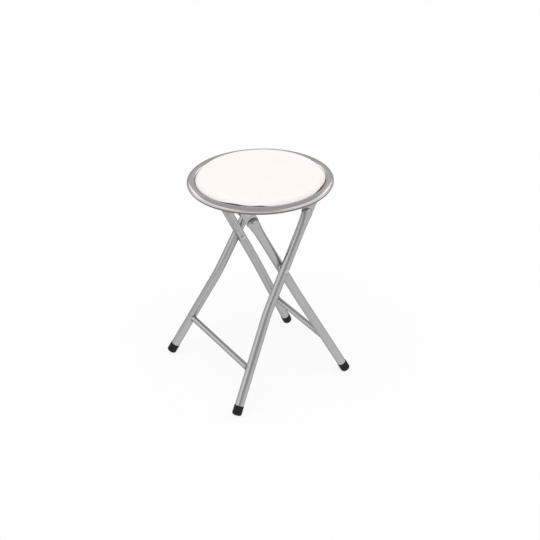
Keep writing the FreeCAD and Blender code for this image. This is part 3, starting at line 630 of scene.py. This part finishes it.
def add_floor():
    """Wide level floor under the feet."""
    half = FLOOR_HALF_WIDTH
    corners = [(-half, -half, 0.0), (half, -half, 0.0), (half, half, 0.0), (-half, half, 0.0)]
    mesh = bpy.data.meshes.new("floor")
    mesh.from_pydata(corners, [], [(0, 1, 2, 3)])
    mesh.materials.append(floor_white("studio_floor"))
    floor = bpy.data.objects.new("floor", mesh)
    bpy.context.scene.collection.objects.link(floor)


def angle_share(tree, way, reference):
    """Level angle between a direction and a reference, as a share of half a turn."""
    level = vector_maths(tree, "MULTIPLY", way, (1.0, 1.0, 0.0))
    unit = vector_maths(tree, "NORMALIZE", level)
    along = vector_maths(tree, "DOT_PRODUCT", unit, reference, result="Value")
    return maths(tree, "DIVIDE", maths(tree, "ARCCOSINE", along), math.pi)


def ramp(tree, share, levels):
    """Smooth grey level along pairs of an angle in degrees and a level."""
    made = node(tree, "ShaderNodeValToRGB", {"Fac": share})
    made.color_ramp.interpolation = "EASE"
    stops = made.color_ramp.elements
    for angle, _ in levels[1:-1]:
        stops.new(angle / HALF_TURN)
    for stop, (angle, level) in zip(stops, levels):
        stop.position = angle / HALF_TURN
        stop.color = grey(level)
    return made.outputs["Color"]


def fade(tree, height, start, stop):
    """Smooth share from 0 to 1 between two elevations in degrees, for the height of a unit vector."""
    low = math.sin(math.radians(start))
    high = math.sin(math.radians(stop))
    return spread(tree, height, start=low, stop=high, interpolation_type="SMOOTHSTEP")


def add_world():
    """Soft surroundings: bright bands low at the sides, greyer above, behind the stool and the camera."""
    world = bpy.data.worlds.new("studio")
    world.use_nodes = True
    bpy.context.scene.world = world
    tree = world.node_tree
    tree.nodes.clear()
    way = node(tree, "ShaderNodeTexCoord").outputs["Generated"]
    height = node(tree, "ShaderNodeSeparateXYZ", {"Vector": way}).outputs["Z"]
    round_share = angle_share(tree, way, direction(CAMERA_AZIMUTH, 0.0))
    wall = ramp(tree, round_share, WALL_LEVELS)
    band = ramp(tree, round_share, BAND_LEVELS)
    low = blend(tree, fade(tree, height, WALL_TOP, BAND_START), wall, band)
    strength = blend(tree, fade(tree, height, BAND_END, SKY_START), low, SKY_LEVEL)
    background = node(tree, "ShaderNodeBackground", {"Color": WHITE, "Strength": strength})
    node(tree, "ShaderNodeOutputWorld", {"Surface": background.outputs["Background"]})


def add_lamps():
    """Wide soft lamps from above, on the camera's side, which no surface mirrors."""
    for name, azimuth, elevation, strength, disc in LAMPS:
        lamp = bpy.data.lights.new(name, "SUN")
        lamp.energy = strength
        lamp.angle = math.radians(disc)
        holder = bpy.data.objects.new(name, lamp)
        towards = direction(azimuth, elevation)
        holder.location = towards * CAMERA_DISTANCE
        holder.rotation_mode = "QUATERNION"
        holder.rotation_quaternion = (-towards).to_track_quat("-Z", "Y")
        holder.visible_glossy = False
        bpy.context.scene.collection.objects.link(holder)


def add_camera():
    """Camera at the photograph's place and roll."""
    back = direction(CAMERA_AZIMUTH, CAMERA_ELEVATION)
    level = direction(CAMERA_AZIMUTH + 90.0, 0.0)
    upright = back.cross(level)
    roll = math.radians(CAMERA_ROLL)
    right = level * math.cos(roll) + upright * math.sin(roll)
    up = upright * math.cos(roll) - level * math.sin(roll)
    lens = bpy.data.cameras.new("photo_camera")
    lens.lens = CAMERA_LENS
    lens.sensor_width = CAMERA_SENSOR
    lens.sensor_fit = "HORIZONTAL"
    camera = bpy.data.objects.new("photo_camera", lens)
    turn = Matrix((right, up, back)).transposed()
    camera.matrix_world = Matrix.Translation(CAMERA_AIM + back * CAMERA_DISTANCE) @ turn.to_4x4()
    bpy.context.scene.collection.objects.link(camera)
    bpy.context.scene.camera = camera


vinyl = white_vinyl("white_vinyl")
paint_nodes({
    "frame_paint": silver_paint("silver_frame_paint", level=0.44, tint=FRAME_TINT, roughness=0.20),
    # The rim's underside share darkens its downward faces: painted shade.
    "rim_paint": silver_paint(
        "silver_rim_paint", level=0.60, tint=RIM_TINT, roughness=0.12, underside=0.36,
    ),
    "pan_paint": pan_paint("grey_pan_paint"),
    "foot_rubber": rubber("black_rubber"),
    "fastener_steel": zinc_steel("zinc_fastener", level=0.56, spangle=900.0),
    "bracket_steel": zinc_steel("zinc_bracket", level=0.50, spangle=260.0),
    "washer_nylon": nylon("natural_nylon"),
    "board_wood": plywood("raw_plywood"),
})
make_cushion(vinyl)
add_floor()
add_world()
add_lamps()
add_camera()
bpy.context.scene.view_settings.view_transform = "Standard"
